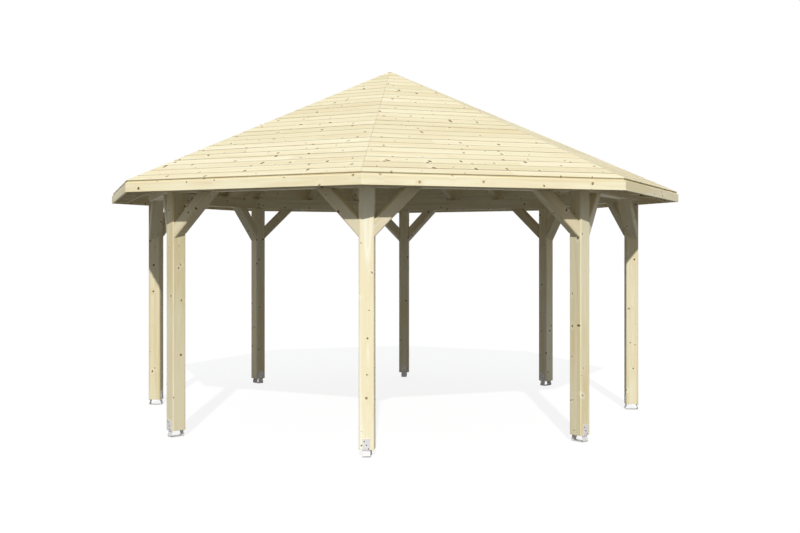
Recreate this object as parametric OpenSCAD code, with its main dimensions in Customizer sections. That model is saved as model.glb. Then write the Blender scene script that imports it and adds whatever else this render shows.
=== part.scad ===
// Garden gazebo: an open octagonal timber frame under a boarded pyramid roof.
// Millimetres, +Z up. The origin is on the ground, under the roof's apex.
// Post 1 stands at -Y and the numbers run counterclockwise, seen from above.
// Side n lies between post n and the next post.

/* [Posts] */
// Radius of the circle that the post centres stand on
post_circle_r = 2500; // [2000:10:3200]
// Side of the square posts
post_w = 125; // [100:1:150]
// Length of a post
post_h = 2090; // [1900:1:2500]
// Bevel on the long edges of a post
post_bevel = 8; // [2:1:12]

/* [Eaves beams] */
// Thickness of an eaves beam
beam_w = 120; // [80:1:130]
// Height of an eaves beam
beam_h = 120; // [100:1:200]
// Bevel on the lower edges of an eaves beam
beam_bevel = 6; // [3:1:20]

/* [Knee braces] */
// Thickness of a knee brace
brace_t = 120; // [60:1:130]
// Depth of a knee brace, across its 45 degree slope
brace_d = 100; // [70:1:140]
// Distance from a post's axis to where a brace's lower edge meets the beam
brace_reach = 440; // [300:5:600]
// Bevel on the long edges of a knee brace
brace_bevel = 8; // [2:1:12]

/* [Roof frame] */
// Slope of a roof face in degrees
roof_pitch = 24.9; // [18:0.1:32]
// Distance that the eave corners stand out past the circle of posts
eaves_overhang = 480; // [300:1:600]
// Width of a rafter
rafter_w = 60; // [45:1:80]
// Depth of a rafter, across its slope
rafter_d = 130; // [120:1:180]
// Depth of the notch that seats a rafter on its beam
seat_d = 23.5; // [15:0.5:35]
// Distance between the centres of the two jack rafters of a roof face
jack_spacing = 600; // [400:10:800]
// Height of the level cut under a rafter's tail above the fascia's lower edge
tail_lift = 10; // [5:1:40]
// Distance across the flats of the block that the hip rafters meet at
block_w = 160; // [150:1:260]
// Distance that the block hangs below the hip rafters
block_drop = 20; // [5:1:80]

/* [Roof skin] */
// Thickness of the roof boards
deck_t = 19; // [16:1:28]
// Distance that the roof boards' top edge stops short of the fascia's outer face
deck_setback = 10; // [0:1:15]
// Height of a fascia board
fascia_h = 78; // [70:1:140]
// Thickness of a fascia board
fascia_t = 20; // [16:1:28]

/* [Post anchors] */
// Height of the posts above the ground
anchor_gap = 60; // [40:1:120]
// Width of an anchor's steel strap
strap_w = 65; // [50:1:90]
// Thickness of an anchor's steel strap
strap_t = 4; // [3:0.5:6]
// Height of an anchor's legs up the post
strap_leg = 90; // [60:1:150]
// Distance that the legs step in under the post, to carry it
strap_step = 13; // [6:1:25]
// Height of the sloping shoulder where the legs step in
shoulder_h = 8; // [4:1:14]
// Radius of the bend at the foot of a leg, to the middle of the strap
strap_bend_r = 12; // [8:1:20]
// Diameter of the hole for the anchor bolt
anchor_bolt_d = 14; // [9:0.5:18]

/* [Hidden] */
sides = 8;
// Angle from one post to the next, and from a post to the middle of a side
side_angle = 360 / sides;
half_angle = side_angle / 2;
// Direction of post 1
first_angle = -90;
// Longer than any piece, for cuts that run right through
far = 2.5 * post_circle_r;
// Clearance between pieces that meet face to face
fit_gap = 0.1;
// Number of steps in the bend of an anchor's leg, and its last angle
bend_steps = 4;
bend_angle = 90;
// Half a turn of the knee brace from upright to its slope down to the post
brace_turn = 135;

// Heights of the frame
beam_base_z = anchor_gap + post_h;
beam_top_z = beam_base_z + beam_h;

// Distances from the centre, square to a side. The beams and braces are flush
// with the posts' front corners.
post_front_r = post_circle_r + post_w / 2;
beam_outer_r = (post_front_r - post_bevel) * cos(half_angle) + post_w / 2 * sin(half_angle);
beam_inner_r = beam_outer_r - beam_w;
brace_middle_r = beam_outer_r - brace_t / 2;
eaves_r = (post_circle_r + eaves_overhang) * cos(half_angle);
fascia_inner_r = eaves_r - fascia_t;
deck_end_r = eaves_r - deck_setback;
// The boards are cut square to their faces, so their underside ends further in
deck_base_r = deck_end_r - deck_t * sin(roof_pitch);

// The underside of the roof boards falls from apex_z at the centre
rafter_plumb = rafter_d / cos(roof_pitch);
deck_plumb = deck_t / cos(roof_pitch);
apex_z = beam_top_z - seat_d + rafter_plumb + beam_outer_r * tan(roof_pitch);
function deck_z(r) = apex_z - r * tan(roof_pitch);
fascia_top_z = deck_z(eaves_r);
fascia_base_z = fascia_top_z - fascia_h;

// The hips are less steep than the faces
hip_pitch = atan(tan(roof_pitch) * cos(half_angle));
hip_plumb = rafter_d / cos(hip_pitch);
function hip_z(r) = apex_z - r * tan(hip_pitch);
block_base_z = hip_z(block_w / 2) - hip_plumb - block_drop;

timber = [0.93, 0.87, 0.70];
timber_light = [0.96, 0.91, 0.76];
timber_dark = [0.84, 0.77, 0.60];
galvanised = [0.72, 0.73, 0.74];

function numbered(name) = [for (i = [1:sides]) str(name, "_", i)];

// Turns a piece that is drawn along +X out to post i
module at_post(i) {
    rotate([0, 0, first_angle + (i - 1) * side_angle]) children();
}

// Turns a piece that is drawn square to +X out to side i
module at_side(i) {
    rotate([0, 0, first_angle + (i - 0.5) * side_angle]) children();
}

// Draws an outline of [distance out, height] points and runs it for a length across
module across(length, outline) {
    rotate([90, 0, 0])
        linear_extrude(height = length, center = true)
            polygon(outline);
}

// The wedge of one side, between the upright planes through its two hips.
// back moves each plane towards the middle of the side.
module side_wedge(back) {
    tip = back / sin(half_angle);
    spread = (far - tip) * tan(half_angle);
    linear_extrude(height = far)
        polygon([[tip, 0], [far, -spread], [far, spread]]);
}

// Everything inside the octagon whose flats lie at a distance from the centre
module inside_flats(distance, height = far) {
    cylinder(r = distance / cos(half_angle), h = height, $fn = sides);
}

// Everything that a rafter must clear under the roof boards of one face
module above_deck() {
    across(far, [
        [-far, deck_z(-far) - fit_gap],
        [far, deck_z(far) - fit_gap],
        [far, deck_z(-far)]
    ]);
}

// A rectangle about the Y axis' upper or middle part, with its corners cut off
module bevelled_rectangle(width, depth, bevel) {
    x = width / 2;
    polygon([
        [bevel - x, 0], [x - bevel, 0],
        [x, bevel], [x, depth - bevel],
        [x - bevel, depth], [bevel - x, depth],
        [-x, depth - bevel], [-x, bevel]
    ]);
}

module post() {
    color(timber)
        translate([post_circle_r, -post_w / 2, anchor_gap])
            linear_extrude(height = post_h)
                bevelled_rectangle(post_w, post_w, post_bevel);
}

module eaves_beam() {
    bevel_z = beam_base_z + beam_bevel;
    color(timber)
        intersection() {
            side_wedge(fit_gap / 2);
            across(far, [
                [beam_inner_r + beam_bevel, beam_base_z],
                [beam_outer_r - beam_bevel, beam_base_z],
                [beam_outer_r, bevel_z],
                [beam_outer_r, beam_top_z],
                [beam_inner_r, beam_top_z],
                [beam_inner_r, bevel_z]
            ]);
        }
}

// One brace, on the counterclockwise side of its post. It ends against the
// post's side face and the underside of the beam.
module brace() {
    bar_length = brace_reach * sqrt(2);
    intersection() {
        rotate([0, 0, half_angle])
            translate([
                brace_middle_r,
                brace_reach - post_circle_r * sin(half_angle),
                beam_base_z
            ])
                rotate([brace_turn, 0, 0])
                    translate([0, 0, -brace_d])
                        linear_extrude(height = bar_length + brace_d)
                            bevelled_rectangle(brace_t, brace_d, brace_bevel);
        translate([0, post_w / 2, 0])
            cube([far, far, beam_base_z]);
    }
}

module brace_pair() {
    color(timber_dark) {
        brace();
        mirror([0, 1, 0]) brace();
    }
}

module roof_panel() {
    color(timber_light)
        intersection() {
            side_wedge(fit_gap / 2);
            across(far, [
                [0, deck_z(0)],
                [deck_base_r, deck_z(deck_base_r)],
                [deck_end_r, deck_z(deck_end_r) + deck_plumb],
                [0, deck_z(0) + deck_plumb]
            ]);
        }
}

module fascia_board() {
    color(timber_light)
        intersection() {
            side_wedge(fit_gap / 2);
            across(far, [
                [fascia_inner_r, fascia_base_z],
                [eaves_r, fascia_base_z],
                [eaves_r, fascia_top_z - fit_gap],
                [fascia_inner_r, deck_z(fascia_inner_r) - fit_gap]
            ]);
        }
}

// What is left of rafters after the level cut at the tail, the notch over the
// beams and the cut along the inside of the fascia
module trimmed_rafters() {
    difference() {
        intersection() {
            children();
            translate([0, 0, fascia_base_z + tail_lift])
                inside_flats(fascia_inner_r);
        }
        inside_flats(beam_outer_r + fit_gap, beam_top_z + fit_gap);
    }
}

module hip_rafter() {
    start = block_w / 2;
    difference() {
        across(rafter_w, [
            [start, hip_z(start) - hip_plumb],
            [far, hip_z(far) - hip_plumb],
            [far, hip_z(far)],
            [start, hip_z(start)]
        ]);
        rotate([0, 0, half_angle]) above_deck();
        rotate([0, 0, -half_angle]) above_deck();
    }
}

module hip_rafters() {
    color(timber)
        trimmed_rafters()
            for (i = [1:sides]) at_post(i) hip_rafter();
}

// The two jack rafters of one side end against its hip rafters
module jack_rafter_pair() {
    intersection() {
        side_wedge(rafter_w / 2 + fit_gap);
        for (place = [-jack_spacing / 2, jack_spacing / 2])
            translate([0, place, 0])
                across(rafter_w, [
                    [0, deck_z(0) - rafter_plumb],
                    [far, deck_z(far) - rafter_plumb],
                    [far, deck_z(far) - fit_gap],
                    [0, deck_z(0) - fit_gap]
                ]);
    }
}

module jack_rafters() {
    color(timber_dark)
        trimmed_rafters()
            for (i = [1:sides]) at_side(i) jack_rafter_pair();
}

// The flats of the block face the hip rafters
module apex_block() {
    color(timber)
        difference() {
            translate([0, 0, block_base_z])
                rotate([0, 0, half_angle])
                    inside_flats(block_w / 2, apex_z - block_base_z);
            for (i = [1:sides]) at_side(i) above_deck();
        }
}

// Points along the middle of one leg's strap, from the foot's middle to the top
leg_x = (post_w + strap_t) / 2;
shoulder_z = anchor_gap - strap_t / 2;
leg_line = concat(
    [for (i = [0:bend_steps])
        let (a = i * bend_angle / bend_steps)
        [leg_x - strap_bend_r * (1 - sin(a)), strap_t / 2 + strap_bend_r * (1 - cos(a))]],
    [
        [leg_x - strap_step, shoulder_z - shoulder_h],
        [leg_x, shoulder_z],
        [leg_x, anchor_gap + strap_leg]
    ]
);

function unit(v) = v / norm(v);
function left_of(v) = [-v[1], v[0]];

// The point beside line[i] at a distance to its left, on a mitred parallel
function beside(line, i, distance) =
    let (
        last = len(line) - 1,
        before = unit(line[max(i, 1)] - line[max(i, 1) - 1]),
        after = unit(line[min(i, last - 1) + 1] - line[min(i, last - 1)])
    )
    line[i] + distance * (left_of(before) + left_of(after)) / (1 + before * after);

module strap_half() {
    last = len(leg_line) - 1;
    polygon(concat(
        [[0, 0]],
        [for (i = [0:last]) beside(leg_line, i, -strap_t / 2)],
        [for (i = [last:-1:0]) beside(leg_line, i, strap_t / 2)],
        [[0, strap_t]]
    ));
}

module post_anchor() {
    difference() {
        translate([post_circle_r, 0, 0])
            rotate([90, 0, 0])
                linear_extrude(height = strap_w, center = true)
                    union() {
                        strap_half();
                        mirror([1, 0]) strap_half();
                    }
        translate([post_circle_r, 0, -strap_t])
            cylinder(d = anchor_bolt_d, h = 3 * strap_t, $fn = 32);
    }
}

module post_anchors() {
    color(galvanised)
        for (i = [1:sides]) at_post(i) post_anchor();
}

for (i = [1:sides]) {
    at_post(i) post();
    at_side(i) eaves_beam();
    at_post(i) brace_pair();
    at_side(i) roof_panel();
    at_side(i) fascia_board();
}
hip_rafters();
jack_rafters();
apex_block();
post_anchors();
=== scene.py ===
import random
from math import atan, cos, pi, radians, sin, tan

import bmesh
import bpy
from mathutils import Matrix, Vector

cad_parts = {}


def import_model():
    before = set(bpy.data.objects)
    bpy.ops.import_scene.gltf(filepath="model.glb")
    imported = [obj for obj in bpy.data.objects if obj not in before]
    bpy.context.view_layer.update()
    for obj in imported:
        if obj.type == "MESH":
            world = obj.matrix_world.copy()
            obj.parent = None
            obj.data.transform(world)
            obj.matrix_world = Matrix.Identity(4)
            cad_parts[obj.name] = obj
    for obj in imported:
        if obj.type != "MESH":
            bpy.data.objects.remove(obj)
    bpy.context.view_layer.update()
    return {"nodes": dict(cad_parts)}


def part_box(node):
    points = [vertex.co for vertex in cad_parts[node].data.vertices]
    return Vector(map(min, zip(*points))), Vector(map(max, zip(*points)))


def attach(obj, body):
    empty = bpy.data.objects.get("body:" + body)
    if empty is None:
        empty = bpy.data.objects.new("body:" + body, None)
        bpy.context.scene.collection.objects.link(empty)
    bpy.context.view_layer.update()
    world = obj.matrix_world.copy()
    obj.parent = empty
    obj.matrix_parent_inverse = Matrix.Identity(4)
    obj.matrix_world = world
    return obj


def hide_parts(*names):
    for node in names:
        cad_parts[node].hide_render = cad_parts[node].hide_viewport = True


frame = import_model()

rng = random.Random(41)

# All lengths are in metres
SIDES = 8
SIDE_ANGLE = radians(360 / SIDES)
HALF_ANGLE = SIDE_ANGLE / 2
FIRST_ANGLE = radians(-90)
UP = Vector((0, 0, 1))


# ---------------------------------------------------------------- directions

def post_angle(i):
    return FIRST_ANGLE + (i - 1) * SIDE_ANGLE


def side_angle(i):
    """The way that side i faces. It lies between posts i and i + 1."""
    return FIRST_ANGLE + (i - 0.5) * SIDE_ANGLE


def outward(angle):
    return Vector((cos(angle), sin(angle), 0))


def across(angle):
    return Vector((-sin(angle), cos(angle), 0))


# ---------------------------------------------------------------- node graphs

class Graph:
    """A material's node tree, with one short call for each kind of node."""

    def __init__(self, name):
        self.material = bpy.data.materials.new(name)
        self.material.use_nodes = True
        self.tree = self.material.node_tree
        self.shader = self.tree.nodes["Principled BSDF"]
        self.output = self.tree.nodes["Material Output"]

    def put(self, socket, value):
        """Links another node's socket to this one, or sets it to a plain value."""
        if isinstance(value, bpy.types.NodeSocket):
            self.tree.links.new(value, socket)
        else:
            socket.default_value = value

    def node(self, kind, out=0, **inputs):
        n = self.tree.nodes.new("ShaderNode" + kind)
        for key, value in inputs.items():
            self.put(n.inputs[key.replace("_", " ")], value)
        return n.outputs[out]

    def math(self, operation, *values):
        n = self.tree.nodes.new("ShaderNodeMath")
        n.operation = operation
        for socket, value in zip(n.inputs, values):
            self.put(socket, value)
        return n.outputs[0]

    def add(self, total, *values):
        for value in values:
            total = self.math("ADD", total, value)
        return total

    def sub(self, a, b):
        return self.math("SUBTRACT", a, b)

    def mul(self, a, b):
        return self.math("MULTIPLY", a, b)

    def div(self, a, b):
        return self.math("DIVIDE", a, b)

    def dot(self, a, b):
        """The dot product of two pairs."""
        return self.add(self.mul(a[0], b[0]), self.mul(a[1], b[1]))

    def cross(self, a, b):
        """The cross product of two pairs."""
        return self.sub(self.mul(a[0], b[1]), self.mul(a[1], b[0]))

    def length(self, a):
        return self.math("SQRT", self.dot(a, a))

    def scaled(self, vector, factors):
        n = self.tree.nodes.new("ShaderNodeVectorMath")
        n.operation = "MULTIPLY"
        self.put(n.inputs[0], vector)
        self.put(n.inputs[1], factors)
        return n.outputs[0]

    def split(self, vector):
        n = self.tree.nodes.new("ShaderNodeSeparateXYZ")
        self.put(n.inputs[0], vector)
        return n.outputs[0], n.outputs[1], n.outputs[2]

    def join(self, x, y, z):
        n = self.tree.nodes.new("ShaderNodeCombineXYZ")
        for socket, value in zip(n.inputs, (x, y, z)):
            self.put(socket, value)
        return n.outputs[0]

    def attribute(self, name):
        n = self.tree.nodes.new("ShaderNodeAttribute")
        n.attribute_name = name
        return n.outputs["Vector"]

    def noise(self, vector, detail=2.0, roughness=0.5):
        return self.node("TexNoise", "Fac", Vector=vector, Scale=1.0,
                         Detail=detail, Roughness=roughness)

    def cells(self, vector, scale=1.0):
        """The random colour and the middle of the cell that a point is in."""
        n = self.tree.nodes.new("ShaderNodeTexVoronoi")
        n.inputs["Scale"].default_value = scale
        self.put(n.inputs["Vector"], vector)
        return n.outputs["Color"], n.outputs["Position"]

    def between(self, value, low, high, to_low=0.0, to_high=1.0):
        """Maps low to high onto to_low to to_high, smoothly and no further. low may be
        the greater of the two."""
        n = self.tree.nodes.new("ShaderNodeMapRange")
        n.interpolation_type = "SMOOTHSTEP"
        for key, v in (("Value", value), ("From Min", low), ("From Max", high),
                       ("To Min", to_low), ("To Max", to_high)):
            self.put(n.inputs[key], v)
        return n.outputs[0]

    def mix(self, factor, a, b, blend="MIX"):
        n = self.tree.nodes.new("ShaderNodeMix")
        n.data_type = "RGBA"
        n.blend_type = blend
        self.put(n.inputs[0], factor)
        self.put(n.inputs[6], a)
        self.put(n.inputs[7], b)
        return n.outputs[2]

    def surface(self, colour, roughness, height, bump):
        """Links the shader's colour, roughness and bump, and gives back the material. bump
        is how strong and how deep it is."""
        self.put(self.shader.inputs["Base Color"], colour)
        self.put(self.shader.inputs["Roughness"], roughness)
        self.put(self.shader.inputs["Normal"], self.node(
            "Bump", Strength=bump[0], Distance=bump[1], Height=height))
        return self.material


def linear(red, green, blue):
    """A colour written as it looks on screen, 0 to 255, in the shader's linear values."""
    def one(v):
        v /= 255
        return v / 12.92 if v <= 0.04045 else ((v + 0.055) / 1.055) ** 2.4
    return one(red), one(green), one(blue), 1.0


# ---------------------------------------------------------------- timber material

# Here and for the steels, a group of two numbers is where something begins and where it is
# full, and a group of four is from where, to where, and what those become. A bump is its
# strength and its depth.
TONE_COLOUR, TONE_SHARE = linear(226, 221, 203), 0.75
PATCH_COLOUR, PATCH_STRENGTH, PATCH_SHOWN = linear(238, 214, 178), 0.22, (0.45, 1.0)
RIM_COLOUR, RIM_STRENGTH = linear(206, 170, 118), 0.35
CORE_COLOUR = linear(120, 88, 52)
BARK_COLOUR = linear(70, 52, 28)
# Painted shade: darkens the roof boards' grooves, their edges and the slot at the eave
PAINTED_SHADE_COLOUR, PAINTED_SHADE_SHARE = linear(112, 98, 66), 0.85

# Knots. The parts from CORE to SWIRL are given by distances from a knot's middle, in its
# own radii.
KNOT_CELLS_AROUND = 0.85
KNOT_RADIUS_MIN, KNOT_RADIUS_MAX = 0.0030, 0.0078
KNOT_LEAN = (0.0, 1.0, -0.9, 0.9)
KNOT_SLIMNESS = (0.7, 1.0, 1.0, 2.0)
KNOT_DEPTH = (0.0, 1.0, 0.5, 1.0)
KNOT_WOBBLE, KNOT_WOBBLE_SCALE = 0.0035, (160.0, 160.0, 160.0)
FAR_SIDE = (0.3, 0.0, 0.0, 1.0)
SMALLEST_RADIUS = 0.001
CORE = (1.15, 0.75)
BARK_OUTSIDE, BARK_INSIDE = (1.45, 1.05), (0.55, 0.95)
RIM = (2.4, 1.2)
HALO, HALO_STRENGTH = (5.0, 1.6), (0.5, 1.0, 0.08, 0.5)
SWIRL = (6.5, 0.8)

# Growth rings, the broad bands of several rings, fibres and patches. A scale is how fast
# each changes along the log and across it.
RINGS_PER_METRE = 290.0
RING_WAVE, RING_WAVE_SCALE = 0.022, (1.1, 7.0, 7.0)
RING_SWIRL = 0.009
LATE_WOOD, LATE_WOOD_END = (0.35, 0.9), (1.0, 0.93)
BANDS_ALONG, BANDS_OUT, BANDS_DRIFT = 0.7, 45.0, 30.0
BANDS_DETAIL, BANDS_ROUGHNESS, BANDS = 4.0, 0.62, (0.42, 0.64)
FIBRE_SCALE, FIBRE_ROUGHNESS = (9.0, 420.0, 420.0), 0.6
PATCH_SCALE, PATCH = (1.6, 14.0, 14.0), (0.3, 0.7)

# How much each counts towards the wood's deeper colour
BANDS_SHARE, LATE_SHARE, FIBRE_SHARE, PATCH_SHARE = 0.55, 0.18, 0.12, 0.15

WOOD_ROUGHNESS = (0.0, 1.0, 0.62, 0.54)
FIBRE_ROUGHENS, KNOT_SMOOTHS = 0.10, 0.15
WOOD_SPECULAR = 0.22
LATE_HEIGHT, FIBRE_HEIGHT, KNOT_HEIGHT = 0.35, 0.65, 0.5
WOOD_BUMP = (0.35, 0.0005)


def spruce(name, pale, deep, knot_spacing, knot_share, knot_size):
    """Planed spruce, cut from a log. Each timber vertex carries "wood", its place in its
    own log: along the grain, and across it from the pith. Its "board" holds how deep the
    board's own tone is, a number that sets the board's bands apart, and how much painted
    shade darkens the vertex, each from 0 to 1."""
    g = Graph(name)
    wood = g.attribute("wood")
    along, right, up = g.split(wood)
    tone, drift, painted_shade = g.split(g.attribute("board"))
    radius = g.length((right, up))
    safe_radius = g.math("MAXIMUM", radius, SMALLEST_RADIUS)
    ray = g.div(right, safe_radius), g.div(up, safe_radius)

    # Knots run out from the pith, one to a cell along and around the log
    cell, knot = g.cells(g.join(g.div(along, knot_spacing), g.mul(ray[0], KNOT_CELLS_AROUND),
                                g.mul(ray[1], KNOT_CELLS_AROUND)))
    chance, stretch, turn = g.split(cell)
    knot_along, *knot_out = g.split(knot)
    knot_reach = g.math("MAXIMUM", g.length(knot_out), SMALLEST_RADIUS)
    knot_ray = g.div(knot_out[0], knot_reach), g.div(knot_out[1], knot_reach)
    lengthwise = g.mul(g.sub(g.div(along, knot_spacing), knot_along), knot_spacing)
    aside = g.mul(radius, g.cross(ray, knot_ray))
    angle = g.between(turn, *KNOT_LEAN)
    axis = g.math("COSINE", angle), g.math("SINE", angle)
    major = g.dot((lengthwise, aside), axis)
    minor = g.cross(axis, (lengthwise, aside))
    major = g.div(major, g.between(stretch, *KNOT_SLIMNESS))
    wobble = g.noise(g.scaled(wood, KNOT_WOBBLE_SCALE))

    # A point's distance from its knot. It is out of reach on the far side of the log, and
    # in the cells that chance leaves without a knot.
    off = g.add(g.length((major, minor)),
                g.mul(g.sub(wobble, 0.5), KNOT_WOBBLE),
                g.between(g.dot(ray, knot_ray), *FAR_SIDE),
                g.math("GREATER_THAN", chance, knot_share))
    share = g.div(off, g.between(chance, 0.0, knot_share, KNOT_RADIUS_MIN * knot_size,
                                 KNOT_RADIUS_MAX * knot_size))
    core = g.between(share, *CORE)
    bark = g.mul(g.between(share, *BARK_OUTSIDE), g.between(share, *BARK_INSIDE))

    # Growth rings, wavy along the log and bent round the knots
    wave = g.mul(g.sub(g.noise(g.scaled(wood, RING_WAVE_SCALE)), 0.5), RING_WAVE)
    ring_radius = g.add(radius, wave, g.mul(g.between(share, *SWIRL), RING_SWIRL))
    phase = g.math("FRACT", g.mul(ring_radius, RINGS_PER_METRE))
    late = g.mul(g.between(phase, *LATE_WOOD), g.between(phase, *LATE_WOOD_END))
    bands = g.noise(g.join(g.mul(along, BANDS_ALONG), g.mul(ring_radius, BANDS_OUT),
                           g.mul(drift, BANDS_DRIFT)), BANDS_DETAIL, BANDS_ROUGHNESS)
    bands = g.between(bands, *BANDS)
    fibre = g.noise(g.scaled(wood, FIBRE_SCALE), roughness=FIBRE_ROUGHNESS)
    patch = g.between(g.noise(g.scaled(wood, PATCH_SCALE)), *PATCH)

    grain = g.add(g.mul(bands, BANDS_SHARE), g.mul(late, LATE_SHARE),
                  g.mul(fibre, FIBRE_SHARE), g.mul(patch, PATCH_SHARE))
    colour = g.mix(grain, pale, deep)
    colour = g.mix(g.mul(tone, TONE_SHARE), colour, TONE_COLOUR, "MULTIPLY")
    colour = g.mix(g.mul(g.between(patch, *PATCH_SHOWN), PATCH_STRENGTH), colour, PATCH_COLOUR)
    halo = g.mul(g.between(share, *HALO), g.between(stretch, *HALO_STRENGTH))
    colour = g.mix(halo, colour, pale)
    colour = g.mix(g.mul(g.between(share, *RIM), RIM_STRENGTH), colour, RIM_COLOUR)
    depth = g.between(turn, *KNOT_DEPTH)
    colour = g.mix(g.mul(core, depth), colour, CORE_COLOUR)
    colour = g.mix(g.mul(bark, depth), colour, BARK_COLOUR)
    # Painted shade in the roof boards' grooves, edges and eave slot
    colour = g.mix(g.mul(painted_shade, PAINTED_SHADE_SHARE), colour, PAINTED_SHADE_COLOUR)

    rough = g.add(g.between(bands, *WOOD_ROUGHNESS), g.mul(fibre, FIBRE_ROUGHENS))
    rough = g.sub(rough, g.mul(core, KNOT_SMOOTHS))
    relief = g.add(g.mul(late, LATE_HEIGHT), g.mul(fibre, FIBRE_HEIGHT),
                   g.mul(core, KNOT_HEIGHT))
    g.shader.inputs["Specular IOR Level"].default_value = WOOD_SPECULAR
    return g.surface(colour, rough, relief, WOOD_BUMP)


post_wood = spruce("post_spruce", linear(255, 250, 226), linear(238, 223, 176),
                   knot_spacing=0.27, knot_share=0.6, knot_size=1.0)
frame_wood = spruce("frame_spruce", linear(250, 244, 219), linear(229, 214, 174),
                    knot_spacing=0.34, knot_share=0.5, knot_size=1.1)
fascia_wood = spruce("fascia_spruce", linear(253, 245, 212), linear(235, 219, 168),
                     knot_spacing=0.30, knot_share=0.65, knot_size=1.1)
roof_wood = spruce("roof_spruce", linear(250, 243, 212), linear(236, 222, 178),
                   knot_spacing=0.34, knot_share=0.75, knot_size=1.3)


# ---------------------------------------------------------------- steel materials

FLAKE_SCALE, FLAKE_SHARE = 95.0, 0.5
FLAKE_PALE, FLAKE_DEEP = linear(226, 223, 221), linear(200, 197, 195)
BLOOM_COLOUR, BLOOM = linear(232, 230, 228), (0.45, 0.75, 0.0, 0.4)
BLOOM_SCALE, BLOOM_ROUGHENS = (28.0, 28.0, 28.0), 0.12
SCUFF_SCALE = (240.0, 240.0, 60.0)
ZINC_METALLIC, ZINC_SPECULAR = 0.1, 0.3
ZINC_ROUGHNESS, ZINC_BUMP = (0.0, 1.0, 0.42, 0.56), (0.25, 0.0003)

# The screws' steel is made dark partly as painted shade for their holes, with a stain between
# the two colours
STAIN_AND_HOLE_SHADE_PALE, STAIN_AND_HOLE_SHADE_DEEP, STAIN = linear(88, 87, 84), linear(56, 54, 51), (0.4, 0.75)
STAIN_SCALE = (180.0, 180.0, 180.0)
SCREW_METALLIC = 0.5
SCREW_ROUGHNESS, SCREW_BUMP = (0.3, 0.7, 0.32, 0.5), (0.2, 0.0002)

# The detail of the bloom, and of the scuffs and stains
BLOOM_DETAIL, FINE_DETAIL = 4.0, 3.0
STEEL_NOISE_ROUGHNESS = 0.6


def galvanised(name):
    g = Graph(name)
    spot = g.node("TexCoord", "Object")
    flake = g.split(g.cells(spot, FLAKE_SCALE)[0])[0]
    bloom = g.noise(g.scaled(spot, BLOOM_SCALE), BLOOM_DETAIL, STEEL_NOISE_ROUGHNESS)
    scuff = g.noise(g.scaled(spot, SCUFF_SCALE), FINE_DETAIL, STEEL_NOISE_ROUGHNESS)
    colour = g.mix(g.mul(flake, FLAKE_SHARE), FLAKE_PALE, FLAKE_DEEP)
    colour = g.mix(g.between(bloom, *BLOOM), colour, BLOOM_COLOUR)
    rough = g.add(g.between(flake, *ZINC_ROUGHNESS), g.mul(bloom, BLOOM_ROUGHENS))
    g.shader.inputs["Metallic"].default_value = ZINC_METALLIC
    g.shader.inputs["Specular IOR Level"].default_value = ZINC_SPECULAR
    return g.surface(colour, rough, g.add(scuff, flake), ZINC_BUMP)


def dark_steel(name):
    g = Graph(name)
    spot = g.node("TexCoord", "Object")
    stain = g.noise(g.scaled(spot, STAIN_SCALE), FINE_DETAIL, STEEL_NOISE_ROUGHNESS)
    # Stain between two dark steels, darkened partly as painted shade of the screw holes
    colour = g.mix(g.between(stain, *STAIN), STAIN_AND_HOLE_SHADE_PALE, STAIN_AND_HOLE_SHADE_DEEP)
    g.shader.inputs["Metallic"].default_value = SCREW_METALLIC
    return g.surface(colour, g.between(stain, *SCREW_ROUGHNESS), stain, SCREW_BUMP)


zinc = galvanised("galvanised_steel")
steel = dark_steel("screw_steel")


# ---------------------------------------------------------------- meshes

MERGE_DISTANCE = 1e-5
FLAT_ANGLE, SHARP_ANGLE = radians(1), radians(25)
NEAR_UPRIGHT = 0.9

# A board's place along its log, and where the log's pith is: from a timber's middle, and
# behind a fascia
LOG_LENGTH = 60
HEART_REACH = (0.006, 0.03)
PITH_BEHIND, PITH_RISE = (0.035, 0.06), (-0.02, 0.02)


def piece(name, bm, material, replaces=()):
    """Makes a flat-shaded object of bm, which rides on the one body, and may stand for CAD
    nodes."""
    mesh = bpy.data.meshes.new(name)
    bmesh.ops.recalc_face_normals(bm, faces=bm.faces)
    bm.to_mesh(mesh)
    bm.free()
    mesh.materials.append(material)
    for polygon in mesh.polygons:
        polygon.use_smooth = False
    obj = bpy.data.objects.new(name, mesh)
    bpy.context.scene.collection.objects.link(obj)
    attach(obj, "root")
    if replaces:
        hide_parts(*replaces)


def wood_bmesh():
    bm = bmesh.new()
    bm.verts.layers.float_vector.new("wood")
    bm.verts.layers.float_vector.new("board")
    return bm


def node_bmesh(node, bm):
    """Fills bm with a copy of a CAD node's mesh, with its flat faces whole again."""
    bm.from_mesh(frame["nodes"][node].data)
    bmesh.ops.remove_doubles(bm, verts=bm.verts, dist=MERGE_DISTANCE)
    bmesh.ops.dissolve_limit(bm, angle_limit=FLAT_ANGLE, verts=bm.verts, edges=bm.edges)
    return bm


def ease(bm, width):
    """Rounds every sharp edge a little."""
    sharp = [e for e in bm.edges if e.is_manifold and e.calc_face_angle() > SHARP_ANGLE]
    bmesh.ops.bevel(bm, geom=sharp, offset=width, offset_type="OFFSET", segments=2,
                    profile=0.5, affect="EDGES", clamp_overlap=True)


def solids(bm):
    """The vertices of each separate solid, in the mesh's own order, so that every run
    gives the same result."""
    seen = set()
    for first in bm.verts:
        if first in seen:
            continue
        seen.add(first)
        found = [first]
        for v in found:
            for e in v.link_edges:
                other = e.other_vert(v)
                if other not in seen:
                    seen.add(other)
                    found.append(other)
        yield found


def middle_of(verts):
    return sum((v.co for v in verts), Vector()) / len(verts)


def log_axes(grain):
    """Two directions across the grain, the second as near to upright as it can be."""
    helper = UP if abs(grain.z) < NEAR_UPRIGHT else outward(radians(20))
    up = (helper - grain * helper.dot(grain)).normalized()
    return grain.cross(up), up


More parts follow.
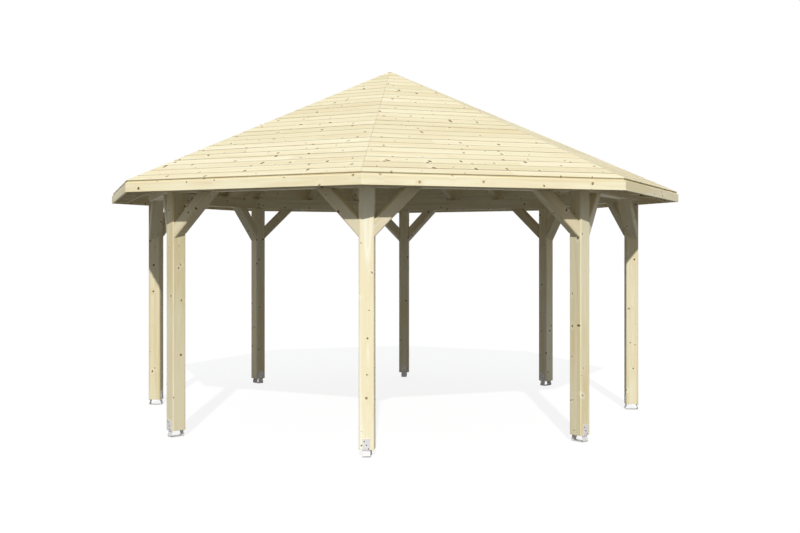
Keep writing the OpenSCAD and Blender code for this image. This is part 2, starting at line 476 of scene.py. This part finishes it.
def mark_wood(bm, verts, grain, pith, tint):
    """Gives the vertices of one board their place in a log that runs along the grain,
    with its pith through a point."""
    wood = bm.verts.layers.float_vector["wood"]
    board = bm.verts.layers.float_vector["board"]
    right, up = log_axes(grain)
    start, drift = rng.uniform(0, LOG_LENGTH), rng.random()
    for v in verts:
        d = v.co - pith
        v[wood] = Vector((d.dot(grain) + start, d.dot(right), d.dot(up)))
        # Its third number, the vertex's painted shade, is kept
        v[board] = Vector((tint, drift, v[board].z))


def heart(middle, grain):
    """A pith near the middle of a timber, as when it is sawn round the heart of its log."""
    right, up = log_axes(grain)
    turn, reach = rng.uniform(0, 2 * pi), rng.uniform(*HEART_REACH)
    return middle + right * (reach * cos(turn)) + up * (reach * sin(turn))


def behind(direction):
    """A pith behind a board, so that its knots come out through its face."""
    def place(middle, grain):
        return middle - direction * rng.uniform(*PITH_BEHIND) + UP * rng.uniform(*PITH_RISE)
    return place


def grain_of(verts):
    """The direction of a solid's longest straight edge, taken upwards, or else towards
    +X or +Y."""
    best = max((e for v in verts for e in v.link_edges),
               key=lambda e: round(e.calc_length(), 4))
    grain = (best.verts[1].co - best.verts[0].co).normalized()
    positive = (round(grain.z, 3), round(grain.x, 3), round(grain.y, 3)) > (0, 0, 0)
    return grain if positive else -grain


# ---------------------------------------------------------------- timber frame

TIMBER_EDGE = 0.0016
FASCIA_TINT = 0.12
# How deep the tone of each post is, from post 1. The front one is the palest.
POST_TINTS = (0.0, 0.92, 0.8, 0.5, 0.55, 0.5, 1.0, 0.95)


def timber(node, material, pith=heart, tint=None):
    """Stands for a CAD node, with eased edges and each of its solids its own board."""
    bm = node_bmesh(node, wood_bmesh())
    # The grain is found before the bevel shortens the edges
    boards = [(grain_of(verts), middle_of(verts)) for verts in solids(bm)]
    ease(bm, TIMBER_EDGE)
    for verts in solids(bm):
        middle = middle_of(verts)
        grain, middle = min(boards, key=lambda b: (b[1] - middle).length)
        mark_wood(bm, verts, grain, pith(middle, grain), rng.random() if tint is None else tint)
    piece(node + "_wood", bm, material, [node])


for i, post_tint in enumerate(POST_TINTS, 1):
    timber(f"post_{i}", post_wood, tint=post_tint)
    timber(f"eaves_beam_{i}", frame_wood)
    timber(f"brace_pair_{i}", frame_wood)
    timber(f"fascia_board_{i}", fascia_wood,
           behind(outward(side_angle(i))), FASCIA_TINT)
for node in ("hip_rafters", "jack_rafters", "apex_block"):
    timber(node, frame_wood)


# ---------------------------------------------------------------- roof boards

# The roof's shape comes from the CAD panel of side 1, whose eave is cut square
panel_out = outward(side_angle(1))
profile = [(v.co.dot(panel_out), v.co.z) for v in frame["nodes"]["roof_panel_1"].data.vertices]
EAVE_R, EAVE_Z = max(profile)
RIDGE_Z = max(z for r, z in profile)
AT_APEX = 0.001
RIDGE_BASE_Z = min(z for r, z in profile if r < AT_APEX)
PITCH = atan((RIDGE_Z - EAVE_Z) / EAVE_R)
BOARD_T = (RIDGE_Z - RIDGE_BASE_Z) * cos(PITCH)
SLOPE_LENGTH = EAVE_R / cos(PITCH)

# How far up the slope each board covers, and the lowest one
BOARD_COVER, FIRST_COVER = 0.1204, 0.0940
# The last board ends just short of the apex, and takes in what would be a thin sliver
LAST_GAP = 0.002
SLIVER = 0.03
GROOVE_MIN, GROOVE_MAX = 0.0045, 0.0100
GROOVE_DEPTH = 0.008
UNDER_CHAMFER = 0.0025
TOP_CHAMFER = 0.0008
HIP_GAP = 0.0008
# Half of the least width that a board's edge has at the apex
HALF_WIDTH_MIN = 0.0004
# The slot along the lowest board's edge, for the tongue that it doesn't need
SLOT_LOW, SLOT_HIGH, SLOT_DEPTH = 0.0065, 0.0125, 0.006

# Butt joints: one in the lowest board of side 1, and some in the longer rows
FIRST_JOINT = 0.13
JOINT_GAP = 0.0008
JOINT_CHANCE = 0.3
JOINT_HALF_ROW = 0.7
JOINT_PLACE, JOINT_PLACE_SPREAD = 0.3, 0.004

# How far out from and down from a roof board's middle its pith is
ROOF_PITH_OUT, ROOF_PITH_DOWN = (-0.045, 0.045), (0.03, 0.09)

# How deep the boards' tones are, from and to: on most faces, and on side 2, where the deeper
# tone is painted shade
ROOF_TINT = (0.14, 0.72)
ROOF_SHADED_SIDE_TINTS = {2: (0.3, 0.9)}


def roof_point(along_slope, height):
    """The distance out, the height above the ground and half the width between the hips of
    a line on the roof boards. along_slope runs up from the eave's top edge, and height
    rises from the boards' underside."""
    r = EAVE_R - along_slope * cos(PITCH) - (BOARD_T - height) * sin(PITCH)
    z = EAVE_Z + along_slope * sin(PITCH) - (BOARD_T - height) * cos(PITCH)
    half = max(r * tan(HALF_ANGLE) - HIP_GAP, HALF_WIDTH_MIN)
    return r, z, half


def board_section(low, high, groove):
    """A board's outline, as points of distance up the slope, height and painted shade."""
    t, ch, uc = BOARD_T, TOP_CHAMFER, UNDER_CHAMFER
    # The third number of each point is painted shade, darkest in the groove and on the upper
    # edge that sits in it
    if low <= 0:
        lower = [(ch, 0, 0.2), (0, ch, 0.3), (0, SLOT_LOW, 0.3), (SLOT_DEPTH, SLOT_LOW, 0.6),
                 (SLOT_DEPTH, SLOT_HIGH, 0.6), (0, SLOT_HIGH, 0.3), (0, t - 2 * ch, 0.1),
                 (2 * ch, t, 0)]
    else:
        lower = [(low + uc, 0, 0), (low, uc, 0.3), (low, t - GROOVE_DEPTH, 1),
                 (low + groove, t - GROOVE_DEPTH, 1), (low + groove, t - ch, 1),
                 (low + groove + ch, t, 0)]
    return lower + [(high - ch, t, 0), (high, t - ch, 1), (high, uc, 0.3), (high - uc, 0, 0)]


def roof_board(bm, side, low, high, left, right, groove):
    """One board between two distances up the slope. left and right are places across,
    or None at a hip. groove is the width of the gap shown along its lower edge."""
    out, over = outward(side_angle(side)), across(side_angle(side))
    board = bm.verts.layers.float_vector["board"]
    section = board_section(low, high, groove)
    rings = []
    for end, limit in ((-1, left), (1, right)):
        ring = []
        for q, h, painted_shade in section:
            r, z, half = roof_point(q, h)
            x = end * half
            if limit is not None:
                x = max(x, limit) if end < 0 else min(x, limit)
            v = bm.verts.new(out * r + over * x + UP * z)
            # The vertex keeps its painted shade
            v[board] = Vector((0, 0, painted_shade))
            ring.append(v)
        rings.append(ring)
    n = len(section)
    bm.faces.new(rings[0])
    bm.faces.new(list(reversed(rings[1])))
    for k in range(n):
        bm.faces.new([rings[0][k], rings[0][(k + 1) % n], rings[1][(k + 1) % n], rings[1][k]])
    verts = rings[0] + rings[1]
    pith = (middle_of(verts) + out * rng.uniform(*ROOF_PITH_OUT)
            - UP * rng.uniform(*ROOF_PITH_DOWN))
    # Side 2's deeper tone is painted shade
    mark_wood(bm, verts, over, pith, rng.uniform(*ROOF_SHADED_SIDE_TINTS.get(side, ROOF_TINT)))


def roof_face(side):
    bm = wood_bmesh()
    low, row, last = 0.0, 0, False
    while not last:
        high = low + (FIRST_COVER if row == 0 else BOARD_COVER)
        last = high > SLOPE_LENGTH - SLIVER
        high = SLOPE_LENGTH - LAST_GAP if last else high
        half = (EAVE_R - low * cos(PITCH)) * tan(HALF_ANGLE)
        joints = []
        if side == 1 and row == 0:
            joints = [FIRST_JOINT]
        elif half > JOINT_HALF_ROW and rng.random() < JOINT_CHANCE:
            joints = [rng.choice((-JOINT_PLACE, JOINT_PLACE))
                      + rng.uniform(-JOINT_PLACE_SPREAD, JOINT_PLACE_SPREAD)]
        groove = rng.uniform(GROOVE_MIN, GROOVE_MAX)
        edges = [None] + joints + [None]
        for a, b in zip(edges, edges[1:]):
            left = None if a is None else a + JOINT_GAP / 2
            right = None if b is None else b - JOINT_GAP / 2
            roof_board(bm, side, low, high, left, right, groove)
        low, row = high, row + 1
    piece(f"roof_boards_{side}", bm, roof_wood, [f"roof_panel_{side}"])


for side in range(1, SIDES + 1):
    roof_face(side)


# ---------------------------------------------------------------- steel

ANCHOR_EDGE = 0.0006
# A point within this distance of a face lies in it
IN_FACE = 0.0005

# Heads, as [radius, height] points from the middle of the front to the middle of the
# back. The pan and flush heads have a socket in them.
PAN_HEAD = [(0, 0.0012), (0.0019, 0.0012), (0.0020, 0.0030), (0.0034, 0.0029),
            (0.0048, 0.0020), (0.0054, 0.0006), (0.0054, -0.0004), (0, -0.0004)]
FLUSH_HEAD = [(0, -0.0022), (0.0017, -0.0022), (0.0018, 0.0002), (0.0040, 0.0002),
              (0.0042, 0.0), (0.0042, -0.0006), (0, -0.0006)]
NAIL_HEAD = [(0, 0.0004), (0.0018, 0.0004), (0.0022, 0.0001), (0.0022, -0.0004),
             (0, -0.0004)]
PAN_STEPS, FLUSH_STEPS, NAIL_STEPS = 14, 12, 12

# The size and place of every post come from the front one
size_low, size_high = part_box("post_1")
POST_W = size_high.x - size_low.x
POST_BASE = size_low.z
POST_R = -(size_low.y + size_high.y) / 2
STRAP_T = 0.004
# Places of a strap's three screws, from its middle line and from the post's foot
STRAP_SCREW_ACROSS = (-0.0165, 0.0005, 0.0175)
STRAP_SCREW_UP = (0.069, 0.039, 0.010)
# How far the screws are from a brace's low end, its high end and its middle plane
BRACE_SCREW_LOW, BRACE_SCREW_HIGH, BRACE_SCREW_ASIDE = 0.085, 0.050, 0.028
# Places of the nails along a fascia, from its middle, and above and below its middle line
FASCIA_NAIL_ALONG = (-1.08, -0.3, 0.3, 1.08)
FASCIA_NAIL_UP = 0.02
FASCIA_NAIL_SPREAD = 0.003


def turned(bm, matrix, outline, steps):
    """Adds a round piece. outline is [radius, height] points up the matrix's Z axis."""
    rings = []
    for radius, height in outline:
        if radius <= 0:
            rings.append([bm.verts.new(matrix @ Vector((0, 0, height)))])
            continue
        rings.append([bm.verts.new(matrix @ Vector((
            radius * cos(2 * pi * k / steps), radius * sin(2 * pi * k / steps), height)))
            for k in range(steps)])
    for low, high in zip(rings, rings[1:]):
        for k in range(steps):
            a, b = low[k % len(low)], low[(k + 1) % len(low)]
            c, d = high[(k + 1) % len(high)], high[k % len(high)]
            corners = [a, b, c, d]
            unique = [v for n, v in enumerate(corners) if v not in corners[:n]]
            if len(unique) > 2:
                bm.faces.new(unique)


def facing(place, normal):
    """A frame at a place whose Z axis is the normal."""
    normal = normal.normalized()
    helper = UP if abs(normal.z) < NEAR_UPRIGHT else Vector((1, 0, 0))
    x = helper.cross(normal).normalized()
    y = normal.cross(x)
    return Matrix.Translation(place) @ Matrix((x, y, normal)).transposed().to_4x4()


def anchors():
    bm = node_bmesh("post_anchors", bmesh.new())
    ease(bm, ANCHOR_EDGE)
    piece("post_anchors_steel", bm, zinc, ["post_anchors"])


def anchor_screws():
    """Three pan-head screws in each strap of each post anchor."""
    bm = bmesh.new()
    for i in range(1, SIDES + 1):
        out, over = outward(post_angle(i)), across(post_angle(i))
        for face in (1, -1):
            r = POST_R + face * (POST_W / 2 + STRAP_T)
            for x, z in zip(STRAP_SCREW_ACROSS, STRAP_SCREW_UP):
                place = out * r + over * x * face + UP * (POST_BASE + z)
                turned(bm, facing(place, out * face), PAN_HEAD, PAN_STEPS)
    piece("anchor_screws", bm, steel)


def brace_screws():
    """Two countersunk screws near each end of each brace, in its lower face."""
    bm = bmesh.new()
    for i in range(1, SIDES + 1):
        model = node_bmesh(f"brace_pair_{i}", bmesh.new())
        for verts in solids(model):
            corners = [v.co for v in verts]
            turn = 1 if sum(c.dot(across(post_angle(i))) for c in corners) > 0 else -1
            side = post_angle(i) + turn * HALF_ANGLE
            out, lean = outward(side), across(side) * turn
            grain, under = (lean + UP).normalized(), (lean - UP).normalized()
            depth = max(c.dot(under) for c in corners)
            ends = [c.dot(grain) for c in corners if c.dot(under) > depth - IN_FACE]
            middle = (min(c.dot(out) for c in corners) + max(c.dot(out) for c in corners)) / 2
            for along in (min(ends) + BRACE_SCREW_LOW, max(ends) - BRACE_SCREW_HIGH):
                for aside in (-BRACE_SCREW_ASIDE, BRACE_SCREW_ASIDE):
                    place = grain * along + under * depth + out * (middle + aside)
                    turned(bm, facing(place, under), FLUSH_HEAD, FLUSH_STEPS)
        model.free()
    piece("brace_screws", bm, steel)


def fascia_nails():
    """Two nails over each rafter's tail and near each corner."""
    bm = bmesh.new()
    for i in range(1, SIDES + 1):
        out, over = outward(side_angle(i)), across(side_angle(i))
        corners = [v.co for v in frame["nodes"][f"fascia_board_{i}"].data.vertices]
        face = max(c.dot(out) for c in corners)
        heights = [c.z for c in corners if c.dot(out) > face - IN_FACE]
        middle = (min(heights) + max(heights)) / 2
        for along in FASCIA_NAIL_ALONG:
            for rise in (-FASCIA_NAIL_UP, FASCIA_NAIL_UP):
                x = along + rng.uniform(-FASCIA_NAIL_SPREAD, FASCIA_NAIL_SPREAD)
                place = out * face + over * x + UP * (middle + rise)
                turned(bm, facing(place, out), NAIL_HEAD, NAIL_STEPS)
    piece("fascia_nails", bm, zinc)


anchors()
anchor_screws()
brace_screws()
fascia_nails()


# ---------------------------------------------------------------- surroundings

# The floor glows nearly white to the camera and keeps the object's shadow, and it sends
# only a little light back up
FLOOR_RADIUS, FLOOR_DROP = 60, 0.0005
FLOOR_GLOW, FLOOR_MATT, FLOOR_BOUNCE = 0.86, 0.20, 0.185
FILL_COLOUR, FILL_STRENGTH = (0.97, 1.0, 1.07, 1), 0.43
SUN_ENERGY, SUN_WIDTH = 2.70, radians(1.0)
SUN_ELEVATION, SUN_TURN = 31.0, 4.1

# The camera was solved from the posts and eaves of the photo
CAMERA_PLACE, CAMERA_TURN = (0.7688, -10.4463, 1.6554), 0.0635
CAMERA_SENSOR, CAMERA_LENS, CAMERA_SHIFT_Y = 36, 44.905, -0.021875


def light_ray_mix(tree, seen, lit):
    """A shader that is `seen` by camera, glossy and transmission rays, and `lit` otherwise."""
    path = tree.nodes.new("ShaderNodeLightPath")
    seeing = path.outputs["Is Camera Ray"]
    for ray in ("Is Glossy Ray", "Is Transmission Ray"):
        either = tree.nodes.new("ShaderNodeMath")
        either.operation = "MAXIMUM"
        tree.links.new(seeing, either.inputs[0])
        tree.links.new(path.outputs[ray], either.inputs[1])
        seeing = either.outputs[0]
    mix = tree.nodes.new("ShaderNodeMixShader")
    tree.links.new(seeing, mix.inputs[0])
    tree.links.new(lit, mix.inputs[1])
    tree.links.new(seen, mix.inputs[2])
    return mix.outputs[0]


def diffuse(tree, level):
    n = tree.nodes.new("ShaderNodeBsdfDiffuse")
    n.inputs["Color"].default_value = (level, level, level, 1)
    return n.outputs[0]


def floor():
    bm = bmesh.new()
    bmesh.ops.create_circle(bm, cap_ends=True, segments=64, radius=FLOOR_RADIUS)
    mesh = bpy.data.meshes.new("floor")
    bm.to_mesh(mesh)
    bm.free()
    obj = bpy.data.objects.new("floor", mesh)
    obj.location = (0, 0, -FLOOR_DROP)
    bpy.context.scene.collection.objects.link(obj)
    g = Graph("floor_pale")
    tree = g.tree
    tree.nodes.remove(g.shader)
    glow = tree.nodes.new("ShaderNodeEmission")
    glow.inputs["Color"].default_value = (1, 1, 1, 1)
    glow.inputs["Strength"].default_value = FLOOR_GLOW
    shown = tree.nodes.new("ShaderNodeAddShader")
    tree.links.new(glow.outputs[0], shown.inputs[0])
    tree.links.new(diffuse(tree, FLOOR_MATT), shown.inputs[1])
    bounce = diffuse(tree, FLOOR_BOUNCE)
    tree.links.new(light_ray_mix(tree, shown.outputs[0], bounce), g.output.inputs[0])
    mesh.materials.append(g.material)


def world():
    sky = bpy.data.worlds.new("studio")
    bpy.context.scene.world = sky
    sky.use_nodes = True
    tree = sky.node_tree
    fill = tree.nodes["Background"]
    fill.inputs["Color"].default_value = FILL_COLOUR
    fill.inputs["Strength"].default_value = FILL_STRENGTH
    white = tree.nodes.new("ShaderNodeBackground")
    white.inputs["Color"].default_value = (1, 1, 1, 1)
    white.inputs["Strength"].default_value = 1.0
    out = tree.nodes["World Output"]
    tree.links.new(light_ray_mix(tree, white.outputs[0], fill.outputs[0]), out.inputs["Surface"])


def sun():
    lamp = bpy.data.lights.new("key_light", "SUN")
    lamp.energy = SUN_ENERGY
    lamp.angle = SUN_WIDTH
    obj = bpy.data.objects.new("key_light", lamp)
    obj.rotation_euler = (radians(90 - SUN_ELEVATION), 0, radians(SUN_TURN))
    bpy.context.scene.collection.objects.link(obj)


def camera():
    cam = bpy.data.cameras.new("camera")
    cam.sensor_width = CAMERA_SENSOR
    cam.lens = CAMERA_LENS
    cam.shift_y = CAMERA_SHIFT_Y
    obj = bpy.data.objects.new("camera", cam)
    obj.location = CAMERA_PLACE
    obj.rotation_euler = (radians(90), 0, CAMERA_TURN)
    bpy.context.scene.collection.objects.link(obj)
    bpy.context.scene.camera = obj


floor()
world()
sun()
camera()
bpy.context.scene.view_settings.view_transform = "Standard"
